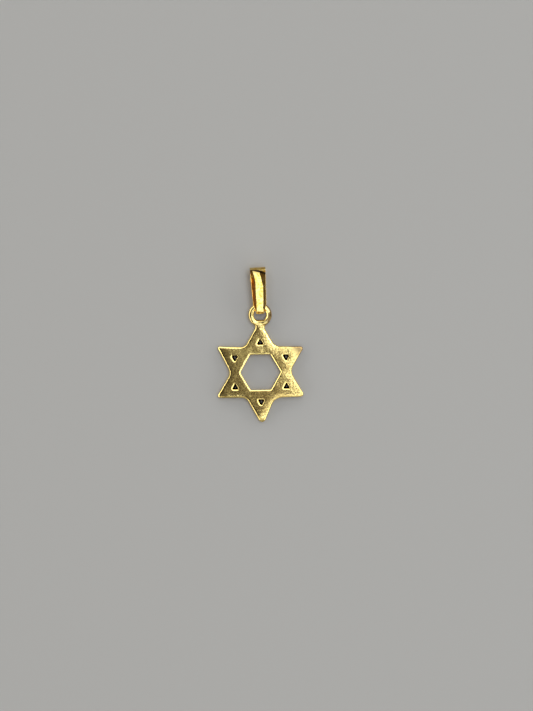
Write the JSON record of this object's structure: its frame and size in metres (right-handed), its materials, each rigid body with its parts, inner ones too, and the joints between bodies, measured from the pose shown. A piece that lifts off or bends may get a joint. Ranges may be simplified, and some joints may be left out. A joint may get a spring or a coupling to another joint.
{
  "type": "star of david pendant",
  "caption": "Flat gold Star of David pendant, pierced at its middle and in each point, with a ring soldered to its top point and a tapered bail for a chain.",
  "frame": {"origin": "middle of the object's width and length, on the surface that its back lies on", "axes": "+Y along the star's middle line from the bottom point to the bail, +Z out of the star's face, +X to the right as seen from the face"},
  "size_m": [0.0121, 0.0218, 0.0019],
  "materials": {
    "satin_gold": "satin 14 carat yellow gold with fine scratches",
    "polished_gold": "polished 14 carat yellow gold"
  },
  "bodies": {
    "root": {"star": "satin_gold", "bail": "polished_gold"}
  },
  "joints": []
}
